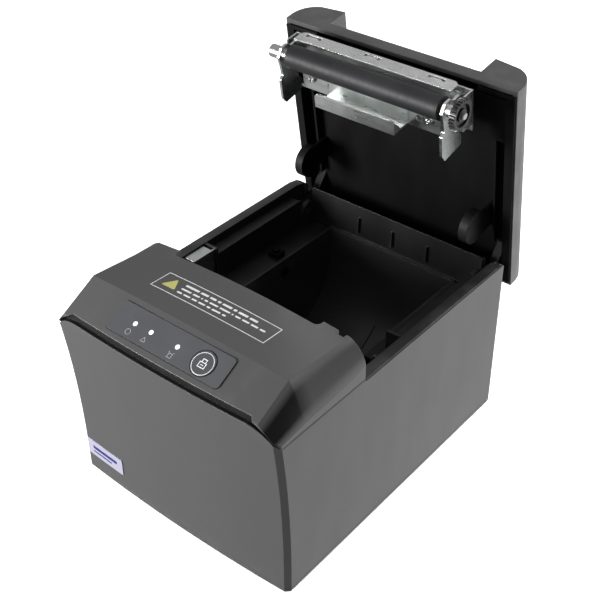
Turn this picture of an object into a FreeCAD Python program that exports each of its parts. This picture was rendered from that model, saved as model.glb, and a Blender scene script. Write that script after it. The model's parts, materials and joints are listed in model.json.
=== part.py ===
import FreeCAD, Part
import os
from math import atan2, cos, degrees, pi, radians, sin

# Thermal receipt printer with a hinged lid, shown with the lid open. Millimetres.
# Modelling frame: X to the right seen from the front, Y to the back, Z up, zero at the case's underside
# in the middle of its width. Lid parts are modelled closed and turned open about the hinge when saved.
# Saved frame: origin on the standing surface, under the middle of the whole object with its lid open.

# Case
CASE_WIDTH = 145.0
HALF = CASE_WIDTH / 2
WALL = 2.5
FRONT_Y = -97.6          # front face low down, at its corners
FRONT_FLARE = 7.4        # how far the front face leans out at its crest
FRONT_BOW = 2.2          # how far the front face bows out in plan
REAR_Y = 91.0            # rear face low down
REAR_LEAN = 2.4          # how far the rear face leans in at the top
FRONT_CHAMFER = 2.6      # flat band along the upright front corners
REAR_CORNER = 4.0
EDGE_R = 3.6             # rounding along the case's lower edge
TRAY_TOP = 4.6
SEAM = 0.3
SIDE_TOP = 101.5         # top of the grey side walls
RIM_TOP = 102.8          # top of the black rim on them
CREST_TOP = 112.3        # top of the front face in its middle
FOOT_HEIGHT = 2.5

# Hinge and lid
HINGE_Y = 79.0
HINGE_Z = 88.2
OPEN_ANGLE = 80.9
PIN_R = 2.0
RUNNING = 0.05           # radial clearance of a running fit
SWEPT_R = 14.6           # what lies inside this radius stays clear of the turning lid
LID_BOTTOM = 103.3
LID_FRONT = -38.8
LID_REAR = 88.0
LID_CROWN = 127.6
RAMP_HALF = 47.5
RAMP_FRONT_Z = 111.5
RAMP_REAR_Y = -13.0

# Front cover
COVER_REAR = -39.7
COVER_CREASE_Y = -84.5
CREASE_Z = 127.6
COVER_FRONT_Z = 116.6
NOTCH_HALF = 47.0
NOTCH_Y = -44.6
GROOVE = 4.4             # height of the dark gap between front face and cover
LIP = 0.6                # thickness of the front face's crest
REBATE = 3.0             # depth of the step behind it
SLOPE_FRONT_Y = -105.0

# Platen assembly, lid closed
PLATEN_Y = -37.9
PLATEN_Z = 76.2
ROLLER_R = 6.2
ROLLER_X0, ROLLER_X1 = -45.5, 48.5
SHAFT_R = 3.0
SEAT_R = 2.0             # the shaft's end that carries the gear
BUSH_R = 3.5
GEAR_MODULE = 0.6
PLATEN_TEETH = 26
IDLER_TEETH = 40
PINION_TEETH = 12
GEAR_X = 56.7
GEAR_WIDTH = 3.2

# Paper bucket
BUCKET_R = 44.0
BUCKET_Y = 38.0
BUCKET_Z = 64.0
BUCKET_HALF = 43.0
BUCKET_TOP = 80.0
BUCKET_WALL = 1.8

# Feed button
BUTTON_R = 6.6
BUTTON_X = 22.0
BUTTON_DOWN = 12.6       # distance of the button's centre from the crease, down the slope

Vec = FreeCAD.Vector
X, Y, Z = Vec(1, 0, 0), Vec(0, 1, 0), Vec(0, 0, 1)
CENTRE = Vec(0, 0, 0)


# ---------------------------------------------------------------- shape helpers

def box(x0, x1, y0, y1, z0, z1):
    return Part.makeBox(x1 - x0, y1 - y0, z1 - z0, Vec(x0, y0, z0))


def rod(radius, start, direction, length):
    return Part.makeCylinder(radius, length, start, direction)


def tube(outer, inner, start, direction, length):
    return rod(outer, start, direction, length).cut(rod(inner, start, direction, length))


def prism(points, direction):
    wire = Part.makePolygon(points + [points[0]])
    return Part.Face(wire).extrude(direction)


def prism_x(outline, x0, x1):
    """Outline of (y, z) points, extruded along X."""
    return prism([Vec(x0, y, z) for y, z in outline], X * (x1 - x0))


def prism_y(outline, y0, y1):
    """Outline of (x, z) points, extruded along Y."""
    return prism([Vec(x, y0, z) for x, z in outline], Y * (y1 - y0))


def prism_z(outline, z0, z1):
    """Outline of (x, y) points, extruded along Z."""
    return prism([Vec(x, y, z0) for x, y in outline], Z * (z1 - z0))


def fuse(shapes):
    return shapes[0].multiFuse(shapes[1:]).removeSplitter()


def mirrored(shape):
    return shape.mirror(CENTRE, X)


def both(shape):
    """The shape and its mirror image on the other side of the printer."""
    return [shape, mirrored(shape)]


def turned(shape, centre, axis, angle):
    copy = shape.copy()
    copy.rotate(centre, axis, angle)
    return copy


def edges_along(shape, direction, chosen):
    """Straight edges parallel to a direction whose middle point satisfies a test."""
    picked = []
    for edge in shape.Edges:
        if len(edge.Vertexes) != 2:
            continue
        run = edge.Vertexes[1].Point - edge.Vertexes[0].Point
        if run.Length < 0.01 or run.cross(direction).Length > 0.01 * run.Length:
            continue
        if chosen(edge.CenterOfMass):
            picked.append(edge)
    return picked


def rounded(shape, radius, direction, chosen=lambda point: True):
    return shape.makeFillet(radius, edges_along(shape, direction, chosen))


# ---------------------------------------------------------------- outer forms

def front_y(z):
    """Front face at the corners: upright low down, leaning out towards the crest."""
    rise = min(max(0.0, (z - 10.0) / (CREST_TOP - 10.0)), 1.05)
    return FRONT_Y - FRONT_FLARE * rise ** 2.3


def rear_y(z):
    return REAR_Y - REAR_LEAN * min(z, SIDE_TOP) / SIDE_TOP


def plan_wire(z, inset):
    """Outline of the case at one height: bowed front, straight sides, chamfered and rounded corners."""
    half = HALF - inset
    front = front_y(z) + inset
    rear = rear_y(z) - inset
    rf = max(FRONT_CHAMFER - 0.6 * inset, 0.6)
    rr = max(REAR_CORNER - inset, 0.8)
    kr = rr * (1 - cos(radians(45)))
    a = [Vec(-half, rear - rr, z), Vec(-half, front + rf, z), Vec(-half + rf, front, z),
         Vec(half - rf, front, z), Vec(half, front + rf, z), Vec(half, rear - rr, z),
         Vec(half - rr, rear, z), Vec(-half + rr, rear, z)]
    edges = [
        Part.makeLine(a[0], a[1]),
        Part.makeLine(a[1], a[2]),
        Part.Arc(a[2], Vec(0, front - FRONT_BOW, z), a[3]).toShape(),
        Part.makeLine(a[3], a[4]),
        Part.makeLine(a[4], a[5]),
        Part.Arc(a[5], Vec(half - kr, rear - kr, z), a[6]).toShape(),
        Part.makeLine(a[6], a[7]),
        Part.Arc(a[7], Vec(-half + kr, rear - kr, z), a[0]).toShape(),
    ]
    return Part.Wire(edges)


def case_foot(inset, bottom):
    """The case's outline along its rounded lower edge."""
    turns = [radians(90 * i / 5) for i in range(6)]
    wires = [plan_wire(bottom + EDGE_R * (1 - cos(t)), inset + EDGE_R * (1 - sin(t))) for t in turns]
    return Part.makeLoft(wires, True, True)


def case_body(inset, bottom=0.0):
    """The case's outline above the rounded lower edge, as an upright form."""
    stations = [bottom + EDGE_R, 25, 50, 70, 85, 96, 105, 114, 132]
    return Part.makeLoft([plan_wire(z, inset) for z in stations], True, False)


def arch(rise):
    """Front view of the front face's crest: flat, falling to the side walls' top, where all rises meet."""
    top = CREST_TOP + rise
    knee = Vec(56.0 + 0.4 * rise, 0, top)
    middle = Vec(66.4 + 0.2 * rise, 0, CREST_TOP - 3.6 + 0.25 * rise)
    end = Vec(HALF + 0.6, 0, RIM_TOP - 1.6 + 0.08 * rise)
    low = -10.0
    right = Part.Arc(knee, middle, end).toShape()
    left = mirrored(right)
    edges = [
        Part.makeLine(Vec(-knee.x, 0, top), knee),
        right,
        Part.makeLine(end, Vec(end.x, 0, low)),
        Part.makeLine(Vec(end.x, 0, low), Vec(-end.x, 0, low)),
        Part.makeLine(Vec(-end.x, 0, low), Vec(-end.x, 0, end.z)),
        left,
    ]
    face = Part.Face(Part.Wire(Part.__sortEdges__(edges)))
    face.translate(Y * -130)
    return face.extrude(Y * 130)


def roof_section(y, inset, top, shoulder, middle, wall_top):
    """Front view of the upper shell at one depth: upright walls, rounded shoulders, crowned top."""
    bottom = RIM_TOP - 20
    half = HALF - inset
    sx, sz = shoulder[0] - inset * 0.5, shoulder[1] - inset
    mx, mz = middle[0] - inset * 0.8, middle[1] - inset * 0.6
    wall = wall_top - inset * 0.2
    right = Part.Arc(Vec(half, y, wall), Vec(mx, y, mz), Vec(sx, y, sz)).toShape()
    left = Part.Arc(Vec(-sx, y, sz), Vec(-mx, y, mz), Vec(-half, y, wall)).toShape()
    edges = [
        Part.makeLine(Vec(half, y, bottom), Vec(half, y, wall)),
        right,
        Part.Arc(Vec(sx, y, sz), Vec(0, y, top - inset), Vec(-sx, y, sz)).toShape(),
        left,
        Part.makeLine(Vec(-half, y, wall), Vec(-half, y, bottom)),
        Part.makeLine(Vec(-half, y, bottom), Vec(half, y, bottom)),
    ]
    return Part.Wire(edges)


def lid_section(y, inset):
    return roof_section(y, inset, LID_CROWN, (62.5, 123.2), (70.0, 117.6), 108.0)


def cover_form(inset):
    """Upper shell of the front cover: like the lid at its rear edge, with hollow cheeks at the front."""
    rear = roof_section(COVER_REAR, inset, 127.0, (62.5, 123.6), (70.0, 117.6), 108.0)
    crease = roof_section(COVER_CREASE_Y, inset, CREASE_Z + 0.4, (63.0, CREASE_Z - 0.6), (68.4, 117.0), 106.5)
    front = roof_section(SLOPE_FRONT_Y, inset, COVER_FRONT_Z + 0.4, (63.0, COVER_FRONT_Z - 0.6),
                         (67.4, 110.4), 104.2)
    ahead = slope_at(-112.0)
    nose = roof_section(-112.0, inset, ahead + 0.4, (63.0, ahead - 0.6), (66.8, 107.4), 103.4)
    return fuse([Part.makeLoft([rear, crease], True, True), Part.makeLoft([crease, front], True, True),
                 Part.makeLoft([front, nose], True, True)])


def slope_at(y):
    """Height of the control face at a depth."""
    fall = (CREASE_Z - COVER_FRONT_Z) / (COVER_CREASE_Y - SLOPE_FRONT_Y)
    return CREASE_Z - fall * (COVER_CREASE_Y - y)


SLOPE_ANGLE = degrees(atan2(CREASE_Z - COVER_FRONT_Z, COVER_CREASE_Y - SLOPE_FRONT_Y))
SLOPE_NORMAL = Vec(0, -sin(radians(SLOPE_ANGLE)), cos(radians(SLOPE_ANGLE)))
SLOPE_DOWN = Vec(0, -cos(radians(SLOPE_ANGLE)), -sin(radians(SLOPE_ANGLE)))


def on_slope(x, down, out=0.0):
    """A point on the control face: x across, a distance down from the crease, and out from the face."""
    crown = 0.4 * (1 - (x / 63.0) ** 2)
    return Vec(x, COVER_CREASE_Y, CREASE_Z + crown) + SLOPE_DOWN * down + SLOPE_NORMAL * out


def hinge_disc(radius, x0, x1):
    """A disc about the hinge axis, for clearance of what turns there."""
    return rod(radius, Vec(x0, HINGE_Y, HINGE_Z), X, x1 - x0)


# ---------------------------------------------------------------- case and base

SCREW_PLACES = [(62.0, -60.0), (-62.0, -60.0), (62.0, 60.0), (-62.0, 60.0)]
FOOT_PLACES = [(56.0, -78.0), (-56.0, -78.0), (56.0, 74.0), (-56.0, 74.0)]
ARM_IN, ARM_OUT = 60.3, 65.3
REAR_CUTS = [(-56.5, -43.5, 8.2, 27.8), (-34.2, -21.8, 8.2, 20.2), (-11.2, 1.2, 8.2, 20.0),
             (11.8, 28.2, 8.2, 22.4), (36.8, 51.2, 8.2, 20.4)]


def swept_space(radius):
    """What must stay clear behind the hinge for the lid's rear wall to turn."""
    return box(-80, 80, HINGE_Y, 100, HINGE_Z, 140).cut(hinge_disc(radius, -80, 80))


def crest_rebate():
    """Step behind the front face's crest, where the black trim lies."""
    behind = case_body(LIP).common(box(-80, 80, -130, FRONT_Y + WALL + 1, 60, 140))
    return behind.cut(arch(-REBATE))


def lower_case():
    shell = case_body(0).cut(case_body(WALL, -3.0))
    shell = shell.common(arch(0).fuse(box(-80, 80, -1, 100, -1, 120))).cut(crest_rebate())
    shell = shell.cut(box(-80, 80, FRONT_Y + WALL + 0.2, COVER_REAR + 0.3, RIM_TOP, 140))
    shell = shell.cut(box(-80, 80, COVER_REAR + 0.3, 100, SIDE_TOP, 140))
    shell = shell.cut(box(-80, 80, -120, 100, -1, TRAY_TOP + SEAM))
    shell = shell.cut(swept_space(SWEPT_R - 0.2))
    shell = shell.cut(swept_space(SWEPT_R - 1.7).common(box(-LEDGE_IN, LEDGE_IN, 70, 100, 90, 110)))
    bosses = [rod(3.4, Vec(x, y, TRAY_TOP + SEAM), Z, 30.0) for x, y in SCREW_PLACES]
    webs = [box(x, HALF - 1, y - 1, y + 1, TRAY_TOP + SEAM, 34.0) for x, y in SCREW_PLACES if x > 0]
    webs += [mirrored(web) for web in webs]
    shell = fuse([shell] + bosses + webs)
    for x, y in SCREW_PLACES:
        shell = shell.cut(rod(1.4, Vec(x, y, TRAY_TOP), Z, 14.0))
    for x0, x1, z0, z1 in REAR_CUTS:
        shell = shell.cut(box(x0, x1, 80, 95, z0, z1))
    for notch in both(box(ARM_IN - 0.8, ARM_OUT + 0.8, 80, 95, HINGE_Z - 6.6, 110)):
        shell = shell.cut(notch)
    return shell


def base_plate():
    tray = case_foot(0, 0).fuse(case_body(0)).common(box(-80, 80, -120, 100, -1, TRAY_TOP))
    for inner in (case_body(WALL, 3.0), case_foot(WALL, 3.0)):
        tray = tray.cut(inner.common(box(-80, 80, -120, 100, 3.0, 20)))
    stand = [rod(2.6, Vec(x, y, 2.5), Z, 4.3) for x in (-50, 50) for y in (-50, 20, 76)]
    tray = fuse([tray] + stand)
    for x, y in SCREW_PLACES:
        tray = tray.cut(rod(1.6, Vec(x, y, -1), Z, 10))
        tray = tray.cut(rod(3.4, Vec(x, y, -1), Z, 2.9))
    for x, y in FOOT_PLACES:
        tray = tray.cut(rod(7.1, Vec(x, y, -1), Z, 1.8))
    vents = [box(x - 1.0, x + 1.0, -36, 36, -1, 4) for x in (-24, -16, -8, 0, 8, 16, 24)]
    return tray.cut(vents)


def rubber_feet():
    feet = []
    for x, y in FOOT_PLACES:
        foot = rod(7.0, Vec(x, y, -FOOT_HEIGHT), Z, FOOT_HEIGHT + 0.8)
        feet.append(foot.makeChamfer(0.6, [e for e in foot.Edges if e.CenterOfMass.z < -FOOT_HEIGHT + 0.01]))
    return feet


def pan_screw(point, direction, head_r, head_h, shank_r, shank_l):
    """A pan-head screw with a cross recess; its point under the head lies at the given place."""
    head = rod(head_r, point, direction * -1, head_h)
    side = X if abs(direction.x) < 0.5 else Y
    across = direction.cross(side)
    slot = 0.28 * head_r
    deep = 0.45 * head_h
    centre = point - direction * (head_h + 0.01)
    for u, v in ((side, across), (across, side)):
        corner = centre - u * (0.62 * head_r) - v * (slot / 2)
        run = u * (1.24 * head_r)
        outline = [corner, corner + run, corner + run + v * slot, corner + v * slot]
        head = head.cut(prism(outline, direction * deep))
    return head.fuse(rod(shank_r, point, direction, shank_l))


def base_screws():
    return [pan_screw(Vec(x, y, 1.9), Z, 3.0, 1.6, 1.4, 14.0) for x, y in SCREW_PLACES]


# ---------------------------------------------------------------- front cover and controls

PANEL_X0, PANEL_X1 = -37.0, 36.0
PANEL_DOWN0, PANEL_DOWN1 = 3.6, 20.3
PANEL_THICK = 0.5
LED_PLACES = [(-23.0, 11.9), (-12.4, 11.9), (4.8, 11.9)]
LED_R = 1.3


def slope_plate(x0, x1, down0, down1, below, above):
    """A plate lying in the control face."""
    corners = [on_slope(0, down0, below), on_slope(0, down1, below), on_slope(0, down1, above),
               on_slope(0, down0, above)]
    return prism([Vec(x0, p.y, p.z) for p in corners], X * (x1 - x0))


def cover_shell():
    outer = cover_form(0).common(case_body(0.15))
    inner = cover_form(WALL).common(case_body(WALL))
    lower = box(-80, 80, -120, -30, 60, RIM_TOP + 0.5)
    return outer.cut(inner.fuse(box(-60, 60, COVER_REAR - 1, -30, 90, 122))).cut(lower)


def cover_body():
    """The cover's shell with its front edge cut to follow the front face's crest."""
    return cover_shell().cut(arch(GROOVE).common(box(-80, 80, -130, FRONT_Y + WALL + 0.6, 80, 130)))


def top_cover():
    shell = cover_body()
    notch = box(-NOTCH_HALF, NOTCH_HALF, NOTCH_Y, -20, 100, 140)
    notch = rounded(notch, 3.0, Z, lambda p: p.y < NOTCH_Y + 0.1)
    relief = box(GEAR_X - 0.7, GEAR_X + GEAR_WIDTH + 0.7, COVER_REAR - 2.6, -20, 100, 140)
    shell = shell.cut([notch, relief])
    gap = 0.2
    across, down = (PANEL_X0 - gap, PANEL_X1 + gap), (PANEL_DOWN0 - gap, PANEL_DOWN1 + gap)
    recess = slope_plate(*across, *down, -PANEL_THICK, 2.0)
    shell = shell.cut(rounded(recess, 2.2, SLOPE_NORMAL))
    shell = shell.cut(rod(BUTTON_R + 0.35, on_slope(BUTTON_X, BUTTON_DOWN, -6), SLOPE_NORMAL, 12))
    for x, down in LED_PLACES:
        shell = shell.cut(rod(LED_R, on_slope(x, down, -6), SLOPE_NORMAL, 12))
    return shell


def front_trim():
    """Black strip behind the gap between the front face's crest and the cover."""
    fin = case_body(WALL + 0.3).cut(case_body(WALL + 2.0)).common(arch(GROOVE + 1.6))
    fin = fin.cut(box(-80, 80, -130, 100, -10, 99.0))
    sill = case_body(LIP + 0.3).cut(case_body(WALL + 1.0)).common(arch(-0.5)).cut(arch(0.4 - REBATE))
    strip = fin.fuse(sill).cut(cover_body()).common(box(-80, 80, -120, FRONT_Y + WALL, 60, 130))
    return max(strip.Solids, key=lambda solid: solid.Volume)


def control_panel():
    panel = slope_plate(PANEL_X0, PANEL_X1, PANEL_DOWN0, PANEL_DOWN1, -PANEL_THICK, 0.3)
    panel = rounded(panel, 2.0, SLOPE_NORMAL)
    panel = panel.cut(rod(BUTTON_R + 0.35, on_slope(BUTTON_X, BUTTON_DOWN, -6), SLOPE_NORMAL, 12))
    for x, down in LED_PLACES:
        panel = panel.cut(rod(LED_R, on_slope(x, down, -6), SLOPE_NORMAL, 12))
    return panel


def led_lenses():
    lenses = []
    for x, down in LED_PLACES:
        stem = rod(LED_R, on_slope(x, down, -3.2), SLOPE_NORMAL, 3.2 + 0.1)
        dome = Part.makeSphere(1.9, on_slope(x, down, -1.1))
        lenses.append(stem.common(dome.fuse(rod(LED_R, on_slope(x, down, -3.2), SLOPE_NORMAL, 3.0))))
    return lenses


def feed_button():
    cap = rod(BUTTON_R, on_slope(BUTTON_X, BUTTON_DOWN, -3.0), SLOPE_NORMAL, 3.7)
    top = [e for e in cap.Edges if (e.CenterOfMass - on_slope(BUTTON_X, BUTTON_DOWN, 0.7)).Length < 0.1]
    cap = cap.makeFillet(0.5, top)
    stem = rod(2.0, on_slope(BUTTON_X, BUTTON_DOWN, -8.0), SLOPE_NORMAL, 5.5)
    return cap.fuse(stem)


def front_badge():
    """Small plate low on the front face, following its bow."""
    plate = rounded(box(-69.3, -41.0, -120, -80, 13.4, 24.2), 0.8, Y)
    return case_body(-0.5).cut(case_body(0)).common(plate)


# ---------------------------------------------------------------- inner frame and bucket

LEDGE_TOP = 97.5
LEDGE_IN = 59.0
RIM_IN = 66.3
POCKET_Y0, POCKET_Y1 = -21.5, -2.6


def side_frame():
    """Right-hand half of the inner frame: rim, ledge, upright wall and shelf."""
    rear = 73.0
    rim = box(RIM_IN, HALF - 0.4, COVER_REAR + 0.6, 86.0, SIDE_TOP, RIM_TOP)
    band = box(RIM_IN, HALF - WALL - 0.3, POCKET_Y0 - 1.6, 84.0, LEDGE_TOP - 2, SIDE_TOP)
    ledge = box(LEDGE_IN, RIM_IN + 1, POCKET_Y1, rear, LEDGE_TOP - 2, LEDGE_TOP)
    wall = box(LEDGE_IN, LEDGE_IN + 2, POCKET_Y1, rear, BUCKET_TOP - 1.5, LEDGE_TOP - 1)
    shelf = box(BUCKET_HALF + BUCKET_WALL, LEDGE_IN + 2, POCKET_Y1, 82.0, BUCKET_TOP - 1.5, BUCKET_TOP)
    cheek = box(RIM_IN, RIM_IN + 2.2, 66.0, 85.0, HINGE_Z - 9, LEDGE_TOP)
    lug = box(ARM_IN - 3.0, ARM_IN - 0.4, 72.0, 85.0, BUCKET_TOP - 1.5, HINGE_Z).fuse(
        hinge_disc(6.5, ARM_IN - 3.0, ARM_IN - 0.4))
    pocket = pocket_walls()
    side = fuse([rim, band, ledge, wall, shelf, cheek, lug] + pocket)
    side = side.cut(hinge_disc(PIN_R, ARM_IN - 3.5, RIM_IN + 4))
    return side.cut(swept_space(SWEPT_R - 0.2))


def pocket_walls():
    """Open-topped pocket ahead of the ledge."""
    x0, x1 = 57.6, RIM_IN + 1
    top = RIM_TOP - 0.3
    floor = 84.0
    front = box(64.4, x1, POCKET_Y0 - 1.6, POCKET_Y0, floor, top)
    rear = box(x0, x1, POCKET_Y1, POCKET_Y1 + 1.4, BUCKET_TOP - 1.5, top)
    back = box(RIM_IN, RIM_IN + 1.6, POCKET_Y0 - 1.6, POCKET_Y1 + 1, floor, LEDGE_TOP)
    return [front, rear, back]


def inner_frame():
    """Black frame that lines the opening, with a cross wall behind the bucket and side plates below."""
    cross = box(-LEDGE_IN - 2, LEDGE_IN + 2, 84.2, 85.6, 40.0, 101.0)
    cap = hinge_disc(SWEPT_R - 0.4, 0.8 - LEDGE_IN, LEDGE_IN - 0.8)
    cap = cap.cut(hinge_disc(SWEPT_R - 1.4, -80, 80)).common(box(-80, 80, 84.2, 88.2, 95.0, 105.0))
    ribs = [box(x - 0.7, x + 0.7, 82.6, 84.6, 84.0, 94.0) for x in (-24.0, 0.0, 24.0)]
    tie = box(-LEDGE_IN, LEDGE_IN, 83.9, 84.6, BUCKET_TOP - 1.5, BUCKET_TOP)
    frame = fuse(both(side_frame()) + [cross, cap, tie] + ribs)
    arms = both(box(ARM_IN - 0.4, ARM_OUT + 0.4, 72.0, 100, HINGE_Z - 6.6, 120))
    return frame.cut([swept_space(SWEPT_R - 0.4)] + arms)


def bucket_outline(radius, x0, x1, top):
    seat = rod(radius, Vec(x0, BUCKET_Y, BUCKET_Z), X, x1 - x0)
    seat = seat.common(box(x0, x1, -60, 140, 0, BUCKET_Z))
    return seat.fuse(box(x0, x1, BUCKET_Y - radius, BUCKET_Y + radius, BUCKET_Z, top))


def paper_bucket():
    """Round-bottomed tub that holds the paper roll, low at its front edge where the paper leaves."""
    half = BUCKET_HALF + BUCKET_WALL - 0.1
    outer = bucket_outline(BUCKET_R + BUCKET_WALL, -half, half, BUCKET_TOP)
    inner = bucket_outline(BUCKET_R, -BUCKET_HALF, BUCKET_HALF, BUCKET_TOP + 1)
    tub = outer.cut(inner)
    front = box(-BUCKET_HALF, BUCKET_HALF, -12, -4, 70, 90)
    tub = tub.cut(front)
    low = BUCKET_Z - BUCKET_R
    ribs = [box(x - 0.6, x + 0.6, 6, 70, low - 0.5, low + 30) for x in (-28, 0, 28)]
    seat = rod(BUCKET_R - 0.8, Vec(-60, BUCKET_Y, BUCKET_Z), X, 120)
    ribs = [rib.cut(seat) for rib in ribs]
    legs = [box(x - 1, x + 1, 18, 58, 10.4, 30).cut(rod(BUCKET_R + 0.5, Vec(-60, BUCKET_Y, BUCKET_Z), X, 120))
            for x in (-34, 34)]
    tub = fuse([tub] + ribs + legs)
    return tub.cut(rod(3.2, Vec(-BUCKET_HALF - 3, 38.3, 71.4), X, 4))


def paper_guide():
    """Sloped plate that leads the paper from the bucket's front edge to the roller."""
    line = [(-8.2, 67.5), (-33.5, 58.5), (-33.5, 56.5), (-8.2, 65.5)]
    plate = prism_x(line, -PLATE_IN, PLATE_IN)
    rib = [(-10, 66.0), (-32, 58.2), (-32, 59.2), (-10, 67.6)]
    ribs = [prism_x(rib, x - 0.5, x + 0.5) for x in range(-36, 37, 12)]
    return fuse([plate] + ribs).cut(box(8.0, 16.0, -27, -19, 50, 70))


def paper_sensor():
    return box(8.2, 15.8, -26.8, -19.2, 55.0, 61.6).cut(box(10.5, 13.5, -24.5, -21.5, 60.9, 63))


def near_end_sensor():
    """Low-paper sensor on the left: a block with an adjusting screw, and a lens in the tub's wall."""
    block = box(-52.5, -46.0, 35.0, 42.0, BUCKET_TOP, 83.2)
    screw = rod(2.2, Vec(-49.5, 38.5, 83.2), Z, 1.5).cut(box(-52, -47, 38.1, 38.9, 84.2, 86))
    lens = rod(3.0, Vec(-BUCKET_HALF - 3.0, 38.3, 71.4), X, 3.6)
    bracket = box(-47.0, -BUCKET_HALF - 1.8, 35.5, 41.0, 68.0, 78.4)
    return [fuse([block, screw]), fuse([lens, bracket])]


def left_tab():
    """Bright steel angle on the left ledge: a flat top and a triangular leg."""
    top = box(-65.9, -58.8, -19.0, -4.5, 100.8, 101.8)
    leg = prism_x([(-19.0, 101.8), (POCKET_Y1, 101.8), (POCKET_Y1, 88.0), (-7.5, 88.0)], -59.8, -58.8)
    return top.fuse(leg)


def hinge_pins():
    return both(rod(PIN_R, Vec(ARM_IN - 3.0, HINGE_Y, HINGE_Z), X, RIM_IN + 2.2 - ARM_IN + 3.4))


# ---------------------------------------------------------------- gears

def gear(teeth, width, x0, y, z, bore, phase=0.0):
    """Spur gear on an axis along X, with straight-sided teeth and room for backlash."""
    pitch_r = GEAR_MODULE * teeth / 2
    tip_r = pitch_r + 0.9 * GEAR_MODULE
    root_r = pitch_r - 1.2 * GEAR_MODULE
    step = 2 * pi / teeth
    points = []
    for i in range(teeth):
        middle = i * step + phase
        for radius, share in ((root_r, -0.36), (tip_r, -0.13), (tip_r, 0.13), (root_r, 0.36)):
            angle = middle + share * step
            points.append(Vec(x0, y + radius * cos(angle), z + radius * sin(angle)))
    blank = prism(points, X * width)
    return blank.cut(rod(bore, Vec(x0 - 1, y, z), X, width + 2))


MESH_DIR = atan2(HINGE_Y - PLATEN_Y, PLATEN_Z - HINGE_Z)     # from the idler to the platen gear, lid closed
MESH_DISTANCE = GEAR_MODULE * (PLATEN_TEETH + IDLER_TEETH) / 2 + 0.12
IDLER_Y = PLATEN_Y - MESH_DISTANCE * cos(MESH_DIR)
IDLER_Z = PLATEN_Z - MESH_DISTANCE * sin(MESH_DIR)
PINION_DIR = MESH_DIR + 14.5 * 2 * pi / IDLER_TEETH          # a tooth here, a gap towards the platen gear
PAIR_DISTANCE = GEAR_MODULE * (IDLER_TEETH + PINION_TEETH) / 2 + 0.12
PINION_Y = IDLER_Y + PAIR_DISTANCE * cos(PINION_DIR)
PINION_Z = IDLER_Z + PAIR_DISTANCE * sin(PINION_DIR)
STUD_R = 2.0
MOTOR_R = 14.0
PLATE_IN, PLATE_OUT = 52.3, 53.6
BAR_Y = -68.0


def idler_gear():
    phase = PINION_DIR
    wheel = gear(IDLER_TEETH, GEAR_WIDTH - 0.8, GEAR_X, IDLER_Y, IDLER_Z, STUD_R + RUNNING, phase)
    hub = tube(4.0, STUD_R + RUNNING, Vec(PLATE_OUT + 0.4, IDLER_Y, IDLER_Z), X, GEAR_X - PLATE_OUT - 0.4)
    holes = [rod(1.9, Vec(GEAR_X - 1, IDLER_Y + 7.2 * cos(a), IDLER_Z + 7.2 * sin(a)), X, 8)
             for a in (radians(20 + 60 * i) for i in range(6))]
    return wheel.fuse(hub).cut(holes)


def motor_pinion():
    phase = PINION_DIR + pi + pi / PINION_TEETH
    wheel = gear(PINION_TEETH, GEAR_WIDTH - 0.4, GEAR_X - 0.2, PINION_Y, PINION_Z, 1.0, phase)
    shaft = rod(1.0, Vec(50.5, PINION_Y, PINION_Z), X, GEAR_X + GEAR_WIDTH - 50.5)
    return wheel.fuse(shaft)


def feed_motor():
    can = rod(MOTOR_R, Vec(29.0, PINION_Y, PINION_Z), X, 22.3)
    rims = [e for e in can.Edges if len(e.Vertexes) == 1]
    can = can.makeFillet(1.2, rims)
    flange = box(51.3, PLATE_IN, PINION_Y - 4, PINION_Y + 4, PINION_Z - MOTOR_R, PINION_Z + MOTOR_R)
    collar = rod(4.5, Vec(50, PINION_Y, PINION_Z), X, PLATE_IN - 50)
    lead = box(31, 41, PINION_Y - 5, PINION_Y + 5, PINION_Z - MOTOR_R - 2.0, PINION_Z - MOTOR_R + 3)
    return fuse([can, flange, collar, lead]).cut(rod(1.2, Vec(49.5, PINION_Y, PINION_Z), X, 10))


# ---------------------------------------------------------------- printing mechanism

MECH_TOP = 89.0
HEAD_FACE = PLATEN_Y - ROLLER_R - 0.35
HEAD_THICK = 2.8
SINK_BASE = 3.0
SINK_DEPTH = 8.6
SINK_REAR = HEAD_FACE - HEAD_THICK - 0.1


def side_plate_outline():
    back, front = PLATEN_Y + BUSH_R + 0.6, PLATEN_Y - BUSH_R - 0.9
    return [(-76.0, 30.0), (back + 1.0, 30.0), (back + 3.0, 60.0), (back + 3.0, 86.0), (back, MECH_TOP),
            (back, PLATEN_Z), (front, PLATEN_Z), (front, MECH_TOP), (-70.0, MECH_TOP),
            (-78.0, 78.0), (-78.0, 34.0)]


def mech_side():
    plate = prism_x(side_plate_outline(), PLATE_IN, PLATE_OUT)
    seat = rod(BUSH_R + 0.6, Vec(PLATE_IN - 1, PLATEN_Y, PLATEN_Z), X, 4)
    motor = rod(1.6, Vec(PLATE_IN - 1, PINION_Y, PINION_Z), X, 4)
    window = prism_x([(-72, 70), (-60, 70), (-60, 80), (-68, 80)], PLATE_IN - 1, PLATE_OUT + 1)
    foot = box(PLATE_IN - 6, PLATE_OUT, -76.0, PLATEN_Y, 28.8, 30.0)
    return fuse([plate.cut([seat, motor, window]), foot])


def mech_frame():
    """Zinc-plated steel frame: two side plates joined by a spring bar and a lower cross plate."""
    bar = box(-PLATE_IN - 0.5, PLATE_IN + 0.5, BAR_Y - 1.2, BAR_Y, 68.0, 86.0)
    cross = box(-PLATE_IN - 0.5, PLATE_IN + 0.5, -76.0, -63.0, 34.0, 35.2)
    stud = rod(STUD_R, Vec(PLATE_IN, IDLER_Y, IDLER_Z), X, GEAR_X + GEAR_WIDTH - PLATE_IN)
    posts = both(box(PLATE_IN - 6, PLATE_OUT, -72.0, -60.0, 3.0, 29.0))
    frame = fuse(both(mech_side()) + [bar, cross, stud] + posts)
    return frame


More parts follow.
